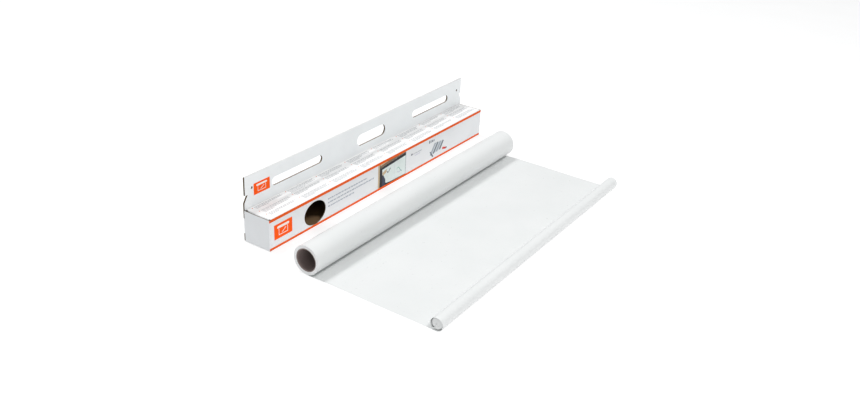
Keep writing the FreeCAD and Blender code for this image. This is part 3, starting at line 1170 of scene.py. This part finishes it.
def curl_path(x):
    """The curled end: it rises on -Y and winds over twice.  At the near end the
    inner wrap is crumpled to a blunt cone that closes the hollow."""
    global CURL_LEN
    u = (x - FX0) / FW
    near = 1 / (1 + ((x - FX0) / 0.95) ** 3)
    turn = TURNS + 0.03 * math.sin(6.0 * u + 1.0)
    out = []
    n = 150
    y, z = CURL_Y, ZS
    ds = turn * 2 * math.pi / n
    ang = 0.0
    out.append((y, z))
    cy, cz = CURL_Y - 0.2, ZS + R1 * 0.96
    length = 0.0
    for i in range(n):
        a = ang + ds / 2
        r = R1 * (1 - 0.052 * a / math.pi) \
            * (1 + 0.010 * math.sin(2 * a + 9 * u) * float(ease(a / 2.0)))
        y += -math.cos(a) * r * ds
        z += math.sin(a) * r * ds
        length += r * ds
        ang += ds
        p = 0.93 * near * float(ease((ang - 1.72 * math.pi) / (0.36 * math.pi)))
        q = 1 - p * (1 + 0.05 * math.sin(7.0 * ang + 0.9))
        out.append((cy + (y - cy) * q, cz + (z - cz) * q))
    CURL_LEN = max(CURL_LEN, length)
    return out


def curl_x(x, t):
    """The cone's folds lie a little inside the rim."""
    near = 1 / (1 + ((x - FX0) / 0.95) ** 3)
    k = float(ease((t - 0.38) / 0.10))
    return x + near * k * (0.30 + 0.12 * math.sin(37.0 * t))


def curl_xs():
    """Closer together near the near end."""
    a = [FX0 + 20.0 * (i / 34) ** 1.7 for i in range(34)]
    b = [FX0 + 20.0 + (FW - 20.0) * i / 84 for i in range(85)]
    return a + b


curl = web("film_curl_end", curl_path, None, mat="film_curl_painted_lighter", xfun=curl_x, xs=curl_xs())
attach(curl, "film")
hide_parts("film_curl")

# ------------------------------------------------------------- floor, light
def floor_material():
    m, nt, bsdf = node_material("studio_floor")
    v = coords(nt)
    n = noise_tex(nt, v, 0.01, 3.0, 0.5)
    nt.links.new(ramp(nt, n, [(0.3, (0.50, 0.50, 0.50)), (0.7, (0.52, 0.52, 0.52))]),
                 bsdf.inputs["Base Color"])
    bsdf.inputs["Roughness"].default_value = 0.7
    bsdf.inputs["Specular IOR Level"].default_value = 0.1
    # a lit sweep: opal acrylic with light under it
    bsdf.inputs["Emission Color"].default_value = (1.0, 1.0, 1.0, 1.0)
    bsdf.inputs["Emission Strength"].default_value = 0.56
    return m


MATS["floor"] = floor_material()
floor = make("studio_floor", [(-6000, -6000, -0.02), (6000, -6000, -0.02),
                              (6000, 6000, -0.02), (-6000, 6000, -0.02)],
             [(0, 1, 2, 3)], ["floor"])

world = bpy.data.worlds.new("studio")
bpy.context.scene.world = world
world.use_nodes = True
bg = world.node_tree.nodes["Background"]
bg.inputs["Color"].default_value = (0.98, 0.99, 1.0, 1.0)
bg.inputs["Strength"].default_value = 0.505


def area_light(name, where, target, size, power, color=(1, 1, 1)):
    d = bpy.data.lights.new(name, "AREA")
    d.shape = "RECTANGLE"
    d.size, d.size_y = size
    d.energy = power
    d.color = color
    o = bpy.data.objects.new(name, d)
    bpy.context.scene.collection.objects.link(o)
    o.location = where
    o.rotation_euler = (Vector(target) - Vector(where)).to_track_quat("-Z", "Y").to_euler()
    return o


area_light("key_front", (-0.42, -1.62, 2.58), (-0.03, -0.14, 0.02), (0.62, 0.60), 33.0)
area_light("key_back", (-0.05, 1.10, 2.76), (-0.03, -0.12, 0.02), (0.66, 0.60), 36.0)

# ----------------------------------------------------------------- camera
def put_camera(f_px, az, el, roll, where):
    a, e, r = (math.radians(v) for v in (az, el, roll))
    back = Vector((math.sin(a) * math.cos(e), -math.cos(a) * math.cos(e), math.sin(e)))
    right = Vector((math.cos(a), math.sin(a), 0))
    up = back.cross(right)
    r2 = math.cos(r) * right + math.sin(r) * up
    u2 = -math.sin(r) * right + math.cos(r) * up
    cam = bpy.data.cameras.new("camera")
    cam.sensor_width = 36.0
    cam.lens = 36.0 * f_px / 860.0
    cam.clip_start, cam.clip_end = 0.05, 50.0
    o = bpy.data.objects.new("camera", cam)
    bpy.context.scene.collection.objects.link(o)
    m = Matrix.Identity(4)
    for i in range(3):
        m[i][0], m[i][1], m[i][2], m[i][3] = r2[i], u2[i], back[i], where[i] * MM
    o.matrix_world = m
    bpy.context.scene.camera = o


put_camera(908.54, -57.344, 27.0556, 3.3277, (-1241.43, -915.92, 741.66))
bpy.context.scene.view_settings.view_transform = "Standard"
bpy.context.scene.view_settings.look = "None"

bpy.context.view_layer.update()
